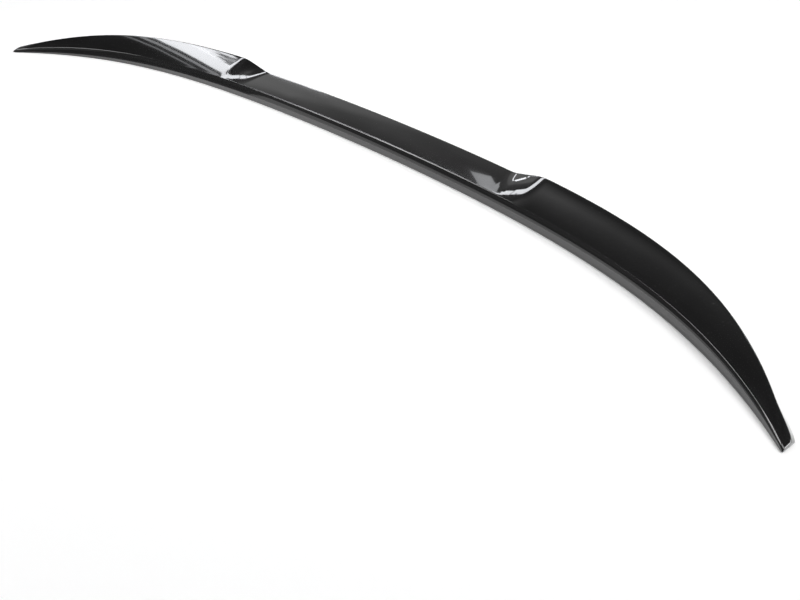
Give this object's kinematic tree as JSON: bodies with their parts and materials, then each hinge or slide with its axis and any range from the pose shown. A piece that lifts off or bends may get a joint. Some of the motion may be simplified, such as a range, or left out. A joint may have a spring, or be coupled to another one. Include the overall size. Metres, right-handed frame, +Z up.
{
  "type": "car rear spoiler",
  "caption": "Slender gloss black lip spoiler for a car boot lid, a crescent in plan with a low middle that ramps up to raised wings, open and ribbed beneath.",
  "frame": {"origin": "middle of the footprint, on the flat bonding plane under the rim", "axes": "+X across the car, +Y to the rear of the car, so the tips point to -Y, +Z up from the lid"},
  "size_m": [1.25, 0.2016, 0.0325],
  "materials": {
    "gloss_black": "high gloss"
  },
  "bodies": {
    "root": {"spoiler": "gloss_black"}
  },
  "joints": []
}
